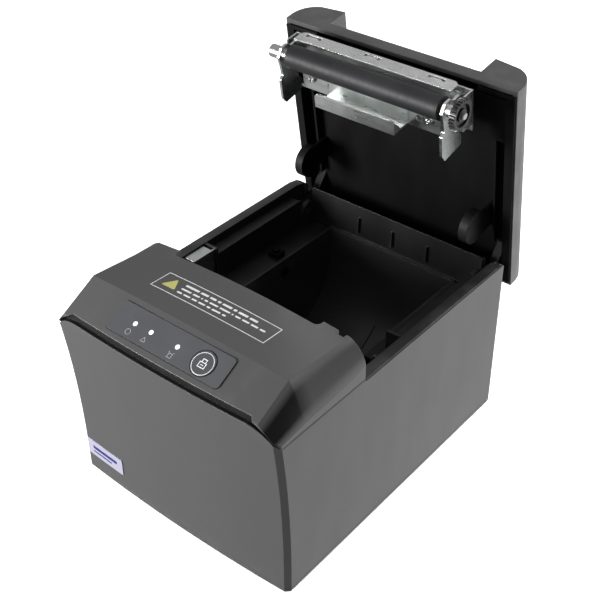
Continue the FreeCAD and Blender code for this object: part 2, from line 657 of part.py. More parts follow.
def print_head():
    plate = box(-46, 46, HEAD_FACE - HEAD_THICK, HEAD_FACE, 60.0, 85.0)
    line = rod(0.9, Vec(-43, HEAD_FACE - 0.75, PLATEN_Z), X, 86)
    return plate.fuse(line)


def heat_sink():
    plate = box(-46, 46, SINK_REAR - SINK_BASE, SINK_REAR, 60.0, 85.0)
    tips = SINK_REAR - SINK_DEPTH
    fins = [box(x - 0.8, x + 0.8, tips, SINK_REAR - 2, 62.0, 83.0) for x in range(-42, 43, 7)]
    return fuse([plate] + fins)


SPRING_X = 28.0
SPRING_Z = 76.0


def head_springs():
    """Two coil springs between the spring bar and the heat sink's fins."""
    wire = 0.4
    start = BAR_Y + wire + 0.05
    length = SINK_REAR - SINK_DEPTH - wire - 0.05 - start
    springs = []
    for x in (-SPRING_X, SPRING_X):
        path = Part.makeHelix(length / 5, length, 3.4)
        profile = Part.Wire(Part.makeCircle(wire, Vec(3.4, 0, 0), Y))
        coil = Part.Wire(path.Edges).makePipeShell([profile], True, True)
        coil = turned(coil, CENTRE, X, -90)
        coil.translate(Vec(x, start, SPRING_Z))
        springs.append(coil)
    return springs


# ---------------------------------------------------------------- cutter

CUTTER_Z = PLATEN_Z + 17.1           # sliding surface under the blade
BLADE_Z0, BLADE_Z1 = CUTTER_Z + 0.3, CUTTER_Z + 1.3
BLADE_TRAVEL = 7.0
RACK_X = 36.0
CUTTER_TEETH = 14
CUTTER_PITCH_R = GEAR_MODULE * CUTTER_TEETH / 2
CUTTER_GEAR_X = RACK_X + CUTTER_PITCH_R + 0.12
CUTTER_GEAR_Y = -74.0
CUTTER_EDGE = PLATEN_Y - 6.8


def cutter_base():
    plate = box(-PLATE_IN, PLATE_IN, -92.0, CUTTER_EDGE - 1, CUTTER_Z - 1.3, CUTTER_Z)
    rails = both(box(49.2, 51.2, -92.0, CUTTER_EDGE - 1, CUTTER_Z, CUTTER_Z + 2.4))
    legs = both(box(PLATE_IN, PLATE_OUT, -70.0, -50.0, MECH_TOP, CUTTER_Z))
    base = fuse([plate] + rails + legs)
    return base.cut(rod(1.5 + RUNNING, Vec(CUTTER_GEAR_X, CUTTER_GEAR_Y, 85), Z, 20))


def cutter_top():
    plate = box(-51.2, 51.2, -92.0, CUTTER_EDGE - 3, CUTTER_Z + 2.45, CUTTER_Z + 3.65)
    window = box(26.0, 48.0, -90.0, -58.0, 90.0, 110.0)
    return plate.cut(window)


def rack_teeth():
    """Teeth along a slot's left side in the blade, pointing to the pinion."""
    step = pi * GEAR_MODULE
    teeth = []
    for i in range(-6, 3):
        y = CUTTER_GEAR_Y + (i + 0.5) * step
        root, tip = RACK_X - 1.2 * GEAR_MODULE, RACK_X + 0.8 * GEAR_MODULE
        outline = [(root - 0.2, y - 0.33 * step), (tip, y - 0.12 * step), (tip, y + 0.12 * step),
                   (root - 0.2, y + 0.33 * step)]
        teeth.append(prism_z(outline, BLADE_Z0, BLADE_Z1))
    return teeth


def cutter_blade():
    """Sliding blade with a shallow V edge and a rack beside its pinion."""
    half, rear = 47.0, -88.0
    outline = [(-half, rear), (half, rear), (half, CUTTER_EDGE), (0.0, CUTTER_EDGE - 2.6),
               (-half, CUTTER_EDGE)]
    plate = prism_z(outline, BLADE_Z0, BLADE_Z1)
    slot = box(RACK_X - 1.2 * GEAR_MODULE, RACK_X + 2 * CUTTER_PITCH_R + 1.6, CUTTER_GEAR_Y - 12.5,
               CUTTER_GEAR_Y + 7, 90, 99)
    relief = [box(x - 8, x + 8, -80, -60, 90, 99) for x in (-28, 0)]
    return fuse([plate.cut([slot] + relief)] + rack_teeth())


def cutter_pinion():
    """Upright pinion that drives the blade's rack, with the drum that its motor turns."""
    wheel = gear(CUTTER_TEETH, BLADE_Z1 - CUTTER_Z, 0, 0, 0, 0.5, pi / CUTTER_TEETH)
    wheel = turned(wheel, CENTRE, Y, -90)
    wheel.translate(Vec(CUTTER_GEAR_X, CUTTER_GEAR_Y, CUTTER_Z + 0.1))
    shaft = rod(1.5, Vec(CUTTER_GEAR_X, CUTTER_GEAR_Y, CUTTER_Z - 1.3), Z, 8.1)
    drum = rod(5.5, Vec(CUTTER_GEAR_X, CUTTER_GEAR_Y, CUTTER_Z + 5.0), Z, 4.0)
    return fuse([wheel, shaft, drum])


def cutter_motor():
    radius = 8.0
    z = CUTTER_Z + 12.2
    can = rod(radius, Vec(-14.0, -76.0, z), X, 32.0)
    can = can.makeFillet(0.8, [e for e in can.Edges if len(e.Vertexes) == 1])
    boss = rod(3.0, Vec(17.0, -76.0, z), X, 3.0)
    cradle = box(-12, 14, -82, -70, CUTTER_Z + 3.65, z - 4).cut(rod(radius, Vec(-20, -76.0, z), X, 60))
    return fuse([can, boss, cradle])


# ---------------------------------------------------------------- electronics and rear panel

BOARD_Z0, BOARD_Z1 = 6.8, 8.4
PORT_FRONT = 74.0
PORT_REAR = 90.0


def main_board():
    board = box(-58, 58, -56, 86.0, BOARD_Z0, BOARD_Z1)
    for x, y in SCREW_PLACES:
        board = board.cut(rod(4.2, Vec(x, y, 0), Z, 40))
    chips = [box(-30, -14, 4, 20, 8.4, 9.9), box(6, 16, -20, -12, 8.4, 9.6), box(26, 38, -4, 8, 8.4, 9.7)]
    return fuse([board] + chips)


def port(x0, x1, z1, socket):
    body = box(x0, x1, PORT_FRONT, PORT_REAR - 0.6, BOARD_Z1, z1)
    return body.cut(socket)


def power_inlet():
    middle = Vec(-28.0, PORT_REAR, 14.2)
    inlet = port(-34.0, -22.0, 20.0, rod(3.3, middle - Y * 11, Y, 12))
    return inlet.fuse(rod(1.0, middle - Y * 12, Y, 9.5))


def usb_port():
    socket = box(-9.2, -0.8, 80.0, 92.0, 10.4, 18.2)
    tongue = box(-7.8, -2.2, 79.0, 87.4, 12.7, 15.9)
    return port(-11.0, 1.0, 19.8, socket).fuse(tongue)


def network_port():
    socket = box(14.1, 25.9, 77.5, 92.0, 12.2, 20.2).fuse(box(17.0, 23.0, 77.5, 92.0, 10.0, 13.0))
    return port(12.0, 28.0, 22.2, socket)


def drawer_port():
    socket = box(39.2, 48.8, 77.5, 92.0, 11.6, 18.4).fuse(box(41.5, 46.5, 77.5, 92.0, 9.6, 12.0))
    return port(37.0, 51.0, 20.2, socket)


SWITCH_X, SWITCH_Z = -50.0, 18.3
ROCKER_Y = 88.0
ROCKER_TILT = 9.0         # either way from its middle position
ROCKER_PIN_R = 1.0


def switch_housing():
    body = box(-56.3, -43.7, 74.0, 91.2, 9.0, 27.6)
    bezel = box(-57.5, -42.5, 91.0, 92.2, 7.6, 29.0)
    well = box(-54.6, -45.4, 78.5, 92.5, 10.8, 25.8)
    return body.fuse(bezel).cut(well).cut(rod(ROCKER_PIN_R + RUNNING, Vec(-56, ROCKER_Y, SWITCH_Z), X, 12))


def power_rocker():
    """Rocker with its lower half pressed in."""
    outline = [(-4.0, -5.6), (3.6, -6.3), (2.8, 0.0), (3.6, 6.3), (-4.0, 5.6), (-4.8, 0.0)]
    middle = Vec(0, ROCKER_Y, SWITCH_Z)
    cap = prism_x([(ROCKER_Y + y, SWITCH_Z + z) for y, z in outline], -54.2, -45.8)
    cap = turned(rounded(cap, 0.5, X), middle, X, -ROCKER_TILT)
    pin = rod(ROCKER_PIN_R, Vec(-55.6, ROCKER_Y, SWITCH_Z), X, 11.2)
    return cap.fuse(pin)


# ---------------------------------------------------------------- lid, modelled closed

def lid_block(inset, front, rear, bottom):
    block = Part.makeLoft([lid_section(front, inset), lid_section(rear, inset)], True, True)
    return block.common(box(-80, 80, -60, 120, bottom, 140))


def ramp_cut(half, drop, ahead):
    """Space of the paper ramp between the lid's ears, shifted down and forward for the inner side."""
    rise = (LID_CROWN + 3 - RAMP_FRONT_Z) / (RAMP_REAR_Y - LID_FRONT)
    y0 = LID_FRONT - 4
    line = [(y0, RAMP_FRONT_Z - 4 * rise - drop), (RAMP_REAR_Y + ahead, LID_CROWN + 3 - drop),
            (RAMP_REAR_Y + ahead, 145), (y0, 145)]
    return prism_x(line, -half, half)


def lid_cover():
    outer = lid_block(0, LID_FRONT, LID_REAR, LID_BOTTOM + FLANGE)
    outer = outer.cut(ramp_cut(RAMP_HALF, 0, 0))
    inner = lid_block(WALL, LID_FRONT + WALL, LID_REAR - WALL, 90)
    inner = inner.cut(ramp_cut(RAMP_HALF + WALL, 3.2, 1.0))
    shell = outer.cut(inner)
    bosses = [tube(3.0, 1.2, Vec(x, y, 112.5), Z, 12.0) for x in (-44, 44) for y in (8, 70)]
    keep = lid_block(0.5, LID_FRONT + 1, LID_REAR - 1, 90)
    return fuse([shell] + [boss.common(keep) for boss in bosses])


LINER_TOP = 112.0
FLANGE = 1.3             # the liner's black flange closes the lid's walls from below
SCREW_XS = (-37.0, 37.0)
SCREW_Y = 12.6           # the bracket screws, behind the shaft's axis
SCREW_R = 1.25
SCREW_LONG = 15.4
BRACKET_TOP = 16.7       # heights above the shaft's axis
BAR_LOW = 4.3
POST_Y0, POST_Y1 = -31.0, -19.5


def lid_arm():
    """Hinge arm reaching down from the liner to the pin."""
    bar = box(ARM_IN, ARM_OUT, HINGE_Y - 5, HINGE_Y + 5, HINGE_Z, LINER_TOP)
    eye = rod(5.0, Vec(ARM_IN, HINGE_Y, HINGE_Z), X, ARM_OUT - ARM_IN)
    brace = [(HINGE_Y - 16, LINER_TOP), (HINGE_Y - 4, 100.5), (HINGE_Y - 4, LINER_TOP)]
    gusset = prism_x(brace, ARM_IN, ARM_OUT)
    hole = rod(PIN_R + RUNNING, Vec(ARM_IN - 1, HINGE_Y, HINGE_Z), X, 10)
    return fuse([bar, eye, gusset]).cut(hole)


def roll_guide():
    """Round nose under the lid, beside the paper, that keeps the roll from jumping out."""
    y, z, radius = 42.5, 90.8, 9.5
    nose = rod(radius, Vec(53.2, y, z), X, 5.0)
    hollow = rod(radius - 1.8, Vec(52.0, y, z), X, 4.4)
    web = box(56.4, 58.2, y - 5.0, y + 8.5, z, LINER_TOP)
    return nose.cut(hollow).fuse(web)


def lid_liner():
    """Black inner moulding of the lid: floor plate, skirts, ribs, roll guides and hinge arms."""
    y0, y1 = LID_FRONT + WALL + 0.4, LID_REAR - WALL - 0.3
    floor = box(-68.5, 68.5, -8.0, y1, LINER_TOP - 1.8, LINER_TOP)
    skirt = box(66.9, HALF - WALL - 0.3, y0, y1, LID_BOTTOM, LINER_TOP - 4)
    skirt = skirt.fuse(box(66.9, 68.5, y0, y1, LINER_TOP - 5, LINER_TOP))
    rear = box(-68.5, 68.5, y1 - 2.2, y1, LID_BOTTOM, LINER_TOP)
    front = both(box(50.6, 68.5, y0, y0 + 2, LID_BOTTOM, LINER_TOP))
    carrier = box(-46, 46, -32.5, -7.0, 104.0, 106.2)
    riser = box(-46, 46, -9.0, -7.0, 104.0, LINER_TOP)
    post = [box(x - 7, x + 7, POST_Y0, POST_Y1, PLATEN_Z + BRACKET_TOP, 104.5) for x in (-37.0, 0.0, 37.0)]
    wings = both(box(45.0, 68.5, -32.5, -7.0, 104.0, 106.2))
    rib = both(box(59.4, 60.8, y0, 62.0, 105.5, LINER_TOP - 0.5))
    flange = both(box(66.9, HALF - 0.6, y0, y1, LID_BOTTOM, LID_BOTTOM + FLANGE - 0.3))
    parts = [floor, rear, carrier, riser] + both(skirt) + front + post + wings + rib + flange
    parts += both(roll_guide()) + both(lid_arm())
    liner = fuse(parts)
    pilots = [rod(SCREW_R, Vec(x, PLATEN_Y + SCREW_Y, 80), Z, PLATEN_Z + BAR_LOW + SCREW_LONG - 80)
              for x in SCREW_XS]
    return liner.cut(pilots)


# ---------------------------------------------------------------- platen assembly, about the shaft's axis

HOOK_IN, HOOK_OUT = 50.0, 51.5
SHEET = 1.0
HOOK_OUTLINE = [(-4.7, -1.9), (-4.9, 2.7), (-2.6, 5.3), (-2.9, 10.3), (-1.0, 15.7), (5.4, 15.7),
                (5.0, 9.7), (9.0, 6.0), (15.6, 6.6), (20.1, 10.9), (23.7, 11.6), (26.3, 11.0),
                (27.8, -3.4), (24.0, -5.6), (12.7, -5.6), (11.0, -3.3), (5.6, -3.9), (-0.2, -5.0)]


def hook_plates():
    plate = prism_x(HOOK_OUTLINE, HOOK_IN, HOOK_OUT)
    plate = rounded(plate, 0.9, X)
    return both(plate.cut(rod(BUSH_R, Vec(HOOK_IN - 1, 0, 0), X, 4)))


def platen_bracket():
    """Steel bracket over the roller: flange, end ears, web and lower bar."""
    flange = box(-55, 55, -3.4, 20.0, BRACKET_TOP - SHEET, BRACKET_TOP)
    ears = both(box(54.0, 55.0, -3.4, 16.0, 7.7, BRACKET_TOP))
    web = box(-45, 45, 19.0, 20.0, BAR_LOW, BRACKET_TOP)
    edge = [(-43.0, 9.0), (-39.0, 8.0), (30.0, 8.0), (33.0, 9.6), (44.0, 9.6), (44.0, 20.0), (-43.0, 20.0)]
    bar = prism_z(edge, BAR_LOW, BAR_LOW + SHEET)
    bracket = fuse([flange, web, bar] + ears)
    holes = [rod(1.5, Vec(x, SCREW_Y + 1.4, 0), Z, 10) for x in (-25.0, 31.0)]
    screws = [rod(SCREW_R, Vec(x, SCREW_Y, -5), Z, 40) for x in SCREW_XS]
    return bracket.cut(holes + screws)


def counter_blade():
    """Fixed blade with three keyhole slots."""
    y0, y1 = -4.9, -3.9
    top = BRACKET_TOP
    blade = rounded(box(-50.4, 47.6, y0, y1, 8.3, top), 3.6, Y, lambda p: p.z > top - 1)
    cuts = []
    for x in (-41.5, -3.5, 35.5):
        cuts.append(box(x - 4.6, x + 4.6, y0 - 1, y1 + 1, top - 2.4, top - 1.4))
        for end in (-4.0, 4.0):
            cuts.append(box(x + end - 0.9, x + end + 0.9, y0 - 1, y1 + 1, top - 3.4, top - 1.4))
    clips = [box(x - 4, x + 4, y1, -3.4, 10.2, top) for x in (-29.5, 10.5)]
    return fuse([blade.cut(cuts)] + clips)


def guide_tray():
    """J-shaped paper guide hung under the bracket's lower bar."""
    half = 25.0
    flange = box(-half, half, 10.6, 19.0, BAR_LOW - SHEET, BAR_LOW)
    plate = box(-half, half, 18.0, 19.0, -8.7, BAR_LOW)
    lip = rounded(box(-half, half, 11.0, 19.0, -8.7, -7.7), 2.2, Z, lambda p: p.y < 12)
    fold = prism_x([(18.5, -8.0), (12.0, -8.0), (18.5, -2.3)], half - 0.8, half)
    return fuse([flange, plate, lip, fold])


def bracket_screws():
    return [pan_screw(Vec(x, SCREW_Y, BAR_LOW), Z, 2.6, 1.5, SCREW_R, SCREW_LONG) for x in SCREW_XS]


def platen_bushes():
    """Steel bushes in the hook plates that carry the shaft."""
    right = tube(BUSH_R, SHAFT_R + RUNNING, Vec(48.9, 0, 0), X, GEAR_X - 0.3 - 48.9)
    left = tube(BUSH_R, SHAFT_R + RUNNING, Vec(-58.4, 0, 0), X, 9.5)
    return [right, left]


def platen_shaft():
    start, step, end = -59.2, GEAR_X - 0.1, GEAR_X + GEAR_WIDTH + 1.4
    main = rod(SHAFT_R, Vec(start, 0, 0), X, step - start)
    seat = rod(SEAT_R, Vec(step, 0, 0), X, end - step)
    shaft = fuse([main, seat])
    tips = [e for e in shaft.Edges if not start + 0.1 < e.CenterOfMass.x < end - 0.1]
    return shaft.makeChamfer(0.4, tips)


def platen_roller():
    return tube(ROLLER_R, SHAFT_R, Vec(ROLLER_X0, 0, 0), X, ROLLER_X1 - ROLLER_X0)


def platen_gear():
    wheel = gear(PLATEN_TEETH, GEAR_WIDTH, GEAR_X, 0, 0, SEAT_R, MESH_DIR + pi)
    recess = tube(5.9, 3.4, Vec(GEAR_X + GEAR_WIDTH - 1.2, 0, 0), X, 3)
    return wheel.cut(recess)


# ---------------------------------------------------------------- writing the parts

def listed(shape):
    return shape if isinstance(shape, list) else [shape]


def main():
    fixed = {
        "lower_case": lower_case, "base_plate": base_plate, "rubber_feet": rubber_feet,
        "base_screws": base_screws, "top_cover": top_cover, "front_trim": front_trim,
        "control_panel": control_panel, "led_lenses": led_lenses, "feed_button": feed_button,
        "front_badge": front_badge, "inner_frame": inner_frame, "paper_bucket": paper_bucket,
        "paper_guide": paper_guide, "paper_sensor": paper_sensor, "near_end_sensor": near_end_sensor,
        "left_tab": left_tab, "hinge_pins": hinge_pins, "idler_gear": idler_gear,
        "motor_pinion": motor_pinion, "feed_motor": feed_motor, "mech_frame": mech_frame,
        "print_head": print_head, "heat_sink": heat_sink, "head_springs": head_springs,
        "cutter_base": cutter_base, "cutter_top": cutter_top, "cutter_blade": cutter_blade,
        "cutter_pinion": cutter_pinion, "cutter_motor": cutter_motor, "main_board": main_board,
        "power_inlet": power_inlet, "usb_port": usb_port, "network_port": network_port,
        "drawer_port": drawer_port, "switch_housing": switch_housing, "power_rocker": power_rocker,
    }
    on_lid = {"lid_cover": lid_cover, "lid_liner": lid_liner}
    about_shaft = {
        "hook_plates": hook_plates,
        "platen_bracket": platen_bracket, "counter_blade": counter_blade, "guide_tray": guide_tray,
        "bracket_screws": bracket_screws, "platen_bushes": platen_bushes, "platen_shaft": platen_shaft,
        "platen_roller": platen_roller, "platen_gear": platen_gear,
    }
    solids = {name: listed(make()) for name, make in fixed.items()}
    closed = {name: listed(make()) for name, make in on_lid.items()}
    for name, make in about_shaft.items():
        closed[name] = [p.translated(Vec(0, PLATEN_Y, PLATEN_Z)) for p in listed(make())]
    for name, pieces in closed.items():
        solids[name] = [turned(p, Vec(0, HINGE_Y, HINGE_Z), X, -OPEN_ANGLE) for p in pieces]
    boxes = [p.optimalBoundingBox(False, False) for pieces in solids.values() for p in pieces]
    middle = (min(b.YMin for b in boxes) + max(b.YMax for b in boxes)) / 2
    shift = Vec(0, -middle, -min(b.ZMin for b in boxes))
    print("saved frame shift", round(shift.y, 3), round(shift.z, 3))
    os.makedirs("parts", exist_ok=True)
    for name, pieces in solids.items():
        shape = pieces[0] if len(pieces) == 1 else Part.makeCompound(pieces)
        shape.translate(shift)
        shape.exportStep("parts/" + name + ".step")
        print(name, len(shape.Solids), shape.isValid(), round(shape.Volume / 1000, 2), "cm3")


main()
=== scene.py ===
"""Looks for a receipt printer with its lid open: materials, printed marks, light, floor and camera.

Lengths on the printer are millimetres in its modelling frame, where X is to the right seen from the front,
Y to the back and Z up from the case's underside. place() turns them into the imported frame's metres. Lights
and floor are given in those metres directly.
"""

import json
from math import atan2, cos, degrees, radians, sin

import bmesh
import bpy
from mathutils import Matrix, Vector
from mathutils.bvhtree import BVHTree


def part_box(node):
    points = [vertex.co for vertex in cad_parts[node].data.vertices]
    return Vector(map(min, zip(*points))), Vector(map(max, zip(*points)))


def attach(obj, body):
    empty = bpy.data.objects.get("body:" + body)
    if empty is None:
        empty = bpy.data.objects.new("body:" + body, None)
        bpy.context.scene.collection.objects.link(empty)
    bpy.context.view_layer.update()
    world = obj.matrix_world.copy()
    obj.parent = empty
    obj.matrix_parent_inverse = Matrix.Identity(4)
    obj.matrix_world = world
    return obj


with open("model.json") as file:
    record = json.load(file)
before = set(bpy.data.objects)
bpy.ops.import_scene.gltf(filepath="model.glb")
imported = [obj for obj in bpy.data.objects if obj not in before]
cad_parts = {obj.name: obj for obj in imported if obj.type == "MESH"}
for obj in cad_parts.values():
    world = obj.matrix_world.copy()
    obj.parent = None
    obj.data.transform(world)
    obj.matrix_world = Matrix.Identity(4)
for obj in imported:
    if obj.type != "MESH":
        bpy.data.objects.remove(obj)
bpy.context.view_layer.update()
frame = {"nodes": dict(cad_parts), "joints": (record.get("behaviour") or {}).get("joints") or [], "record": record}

MM = 0.001
JOINTS = {joint["name"]: joint for joint in frame["joints"]}
HINGE_Y, HINGE_Z = 79.0, 88.2
ZERO = Vector(JOINTS["lid_hinge"]["pos_m"]) - Vector((0, HINGE_Y, HINGE_Z)) * MM


def place(x, y, z):
    return ZERO + Vector((x, y, z)) * MM


def centre_of(node):
    low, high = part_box(node)
    return (low + high) / 2


# ---------------------------------------------------------------- materials

def new_material(name, colour, rough, metallic=0.0):
    material = bpy.data.materials.new(name)
    material.use_nodes = True
    shader = material.node_tree.nodes["Principled BSDF"]
    shader.inputs["Base Color"].default_value = (*colour, 1)
    shader.inputs["Roughness"].default_value = rough
    shader.inputs["Metallic"].default_value = metallic
    return material, shader


def add(material, kind, **values):
    """A node in a material; keyword names are its properties, or its inputs with spaces as underscores."""
    node = material.node_tree.nodes.new(kind)
    for key, value in values.items():
        if hasattr(node, key):
            setattr(node, key, value)
        else:
            node.inputs[key.replace("_", " ")].default_value = value
    return node


def join(material, source, target):
    material.node_tree.links.new(source, target)


def coordinates(material, stretch=(1, 1, 1)):
    """Object coordinates, squeezed along each axis, so that grain keeps its real size."""
    where = add(material, "ShaderNodeTexCoord")
    mapping = add(material, "ShaderNodeMapping", Scale=stretch)
    join(material, where.outputs["Object"], mapping.inputs["Vector"])
    return mapping.outputs["Vector"]


def noise(material, vector, scale, detail=2.0, rough=0.5):
    node = add(material, "ShaderNodeTexNoise", Scale=scale, Detail=detail, Roughness=rough)
    join(material, vector, node.inputs["Vector"])
    return node.outputs["Fac"]


def ranged(material, value, low, high, to_low, to_high):
    node = add(material, "ShaderNodeMapRange", From_Min=low, From_Max=high, To_Min=to_low, To_Max=to_high)
    join(material, value, node.inputs["Value"])
    return node.outputs["Result"]


def mixed(material, share, first, second):
    """A colour that goes from first to second with share; either one is a colour or a socket."""
    node = add(material, "ShaderNodeMix", data_type="RGBA")
    for slot, value in (("A", first), ("B", second)):
        socket = [s for s in node.inputs if s.name == slot and s.type == "RGBA"][0]
        if isinstance(value, bpy.types.NodeSocket):
            join(material, value, socket)
        else:
            socket.default_value = (*value, 1)
    join(material, share, node.inputs[0])
    return [s for s in node.outputs if s.type == "RGBA"][0]


def multiplied(material, first, second):
    node = add(material, "ShaderNodeMath", operation="MULTIPLY")
    join(material, first, node.inputs[0])
    join(material, second, node.inputs[1])
    return node.outputs[0]


def relief(material, shader, height, strength, depth, edge):
    """Bump from a height, on top of edges that are rounded by the shader."""
    soft = add(material, "ShaderNodeBevel", samples=4, Radius=edge * MM)
    bump = add(material, "ShaderNodeBump", Strength=strength, Distance=depth * MM)
    join(material, height, bump.inputs["Height"])
    join(material, soft.outputs["Normal"], bump.inputs["Normal"])
    join(material, bump.outputs["Normal"], shader.inputs["Normal"])


def edge_wear(material, start, full):
    """A share that is high on worn outer edges, broken up by noise."""
    geometry = add(material, "ShaderNodeNewGeometry")
    outer = ranged(material, geometry.outputs["Pointiness"], start, full, 0.0, 1.0)
    patches = ranged(material, noise(material, coordinates(material), 90, 3), 0.42, 0.62, 0.15, 1.0)
    return multiplied(material, outer, patches)


def moulded(name, colour, rough, grain=0.45, depth=0.02, edge=0.35, wear=0.25, spread=0.06, shine=0.5,
            painted_shade=None):
    """Moulded plastic with a fine etched grain, uneven gloss and slightly polished edges.

    grain, depth and edge are millimetres. The shade function, when given, returns a share of the surface that is
    toned down towards black as painted shade.
    """
    material, shader = new_material(name, colour, rough)
    shader.inputs["Specular IOR Level"].default_value = shine
    vector = coordinates(material)
    fine = noise(material, vector, 1 / (grain * MM), 3, 0.6)
    cloud = noise(material, vector, 28, 3)
    light = tuple(min(1.0, c * (1 + wear) + 0.012 * wear) for c in colour)
    dull = tuple(c * 0.97 for c in colour)
    base = mixed(material, ranged(material, cloud, 0.35, 0.65, 0, 1), dull, colour)
    surface_colour = mixed(material, edge_wear(material, 0.56, 0.66), base, light)
    # Painted shade: where the shade function gives a share, the colour is darkened towards black.
    if painted_shade:
        surface_colour = mixed(material, painted_shade(material), surface_colour, tuple(c * 0.05 for c in colour))
    join(material, surface_colour, shader.inputs["Base Color"])
    smears = noise(material, coordinates(material, (1, 1, 0.35)), 55, 4)
    gloss = ranged(material, smears, 0.35, 0.65, rough - spread, rough + spread)
    join(material, gloss, shader.inputs["Roughness"])
    relief(material, shader, fine, 0.35, depth, edge)
    return material


def painted_shoulder_shade(material):
    """Painted shade on the cover's hollow cheeks, darkest at the front and fading towards the lid."""
    split = add(material, "ShaderNodeSeparateXYZ")
    join(material, coordinates(material), split.inputs["Vector"])
    side = add(material, "ShaderNodeMath", operation="ABSOLUTE")
    join(material, split.outputs["X"], side.inputs[0])
    inner = ranged(material, side.outputs[0], 63.9 * MM, 66.2 * MM, 0.0, 1.0)
    outer = ranged(material, side.outputs[0], 70.4 * MM, 71.9 * MM, 1.0, 0.0)
    front, rear = place(0, -86, 0).y, place(0, -76, 0).y
    ahead = ranged(material, split.outputs["Y"], front, rear, 0.99, 0.42)
    return multiplied(material, multiplied(material, inner, outer), ahead)


def sheet_metal(name, colour, rough, along=(1, 30, 30), spread=0.10, strength=0.12):
    """Rolled sheet steel or turned metal: fine streaks, faint cloudiness and brighter edges."""
    material, shader = new_material(name, colour, rough, 1.0)
    streaks = noise(material, coordinates(material, along), 60, 4, 0.65)
    cloud = noise(material, coordinates(material), 120, 3)
    dark = tuple(c * 0.88 for c in colour)
    base = mixed(material, ranged(material, cloud, 0.35, 0.68, 0, 1), colour, dark)
    bright = tuple(min(1.0, c * 1.15) for c in colour)
    surface_colour = mixed(material, edge_wear(material, 0.53, 0.62), base, bright)
    join(material, surface_colour, shader.inputs["Base Color"])
    gloss = ranged(material, streaks, 0.3, 0.7, rough - spread, rough + spread)
    join(material, gloss, shader.inputs["Roughness"])
    relief(material, shader, streaks, strength, 0.02, 0.2)
    return material


def rubber(name, colour, rough, along=(1, 1, 1), shine=0.5):
    """Ground rubber: matt, slightly dusty, with fine grinding marks."""
    material, shader = new_material(name, colour, rough)
    shader.inputs["Specular IOR Level"].default_value = shine
    marks = noise(material, coordinates(material, along), 900, 3, 0.6)
    dust = ranged(material, noise(material, coordinates(material), 45, 4), 0.45, 0.75, 0.0, 0.5)
    pale = tuple(c * 1.8 + 0.01 for c in colour)
    join(material, mixed(material, dust, colour, pale), shader.inputs["Base Color"])
    join(material, ranged(material, marks, 0.3, 0.7, rough - 0.05, rough + 0.08), shader.inputs["Roughness"])
    relief(material, shader, marks, 0.25, 0.02, 0.4)
    return material


def ink(name, colour):
    """Screen-printed ink with a slightly uneven film."""
    rough = 0.45
    material, shader = new_material(name, colour, rough)
    film = noise(material, coordinates(material), 1400, 3)
    thin = tuple(c * 0.86 for c in colour)
    coat = mixed(material, ranged(material, film, 0.4, 0.7, 0, 1), colour, thin)
    join(material, coat, shader.inputs["Base Color"])
    join(material, ranged(material, film, 0.3, 0.7, rough - 0.06, rough + 0.06), shader.inputs["Roughness"])
    relief(material, shader, film, 0.2, 0.01, 0.05)
    return material


def lens(name, colour, glow):
    """Frosted light pipe, lit from behind."""
    material, shader = new_material(name, colour, 0.25)
    frost = noise(material, coordinates(material), 2500, 2)
    shader.inputs["Emission Color"].default_value = (*colour, 1)
    shader.inputs["Emission Strength"].default_value = glow
    join(material, ranged(material, frost, 0.3, 0.7, 0.18, 0.34), shader.inputs["Roughness"])
    relief(material, shader, frost, 0.2, 0.01, 0.2)
    return material


def board(name):
    """Circuit board: green mask over a faint pattern of copper tracks."""
    mask_green, track_green = (0.01, 0.07, 0.03), (0.03, 0.16, 0.07)
    material, shader = new_material(name, mask_green, 0.35)
    vector = coordinates(material, (1, 1, 0))
    tracks = add(material, "ShaderNodeTexBrick", Scale=90.0, Mortar_Size=0.012)
    join(material, vector, tracks.inputs["Vector"])
    over = ranged(material, tracks.outputs["Fac"], 0.2, 0.8, 0, 0.7)
    join(material, mixed(material, over, mask_green, track_green), shader.inputs["Base Color"])
    mask = noise(material, vector, 300, 3)
    join(material, ranged(material, mask, 0.3, 0.7, 0.28, 0.42), shader.inputs["Roughness"])
    relief(material, shader, tracks.outputs["Fac"], 0.3, 0.03, 0.2)
    return material


GREY = (0.070, 0.070, 0.070)

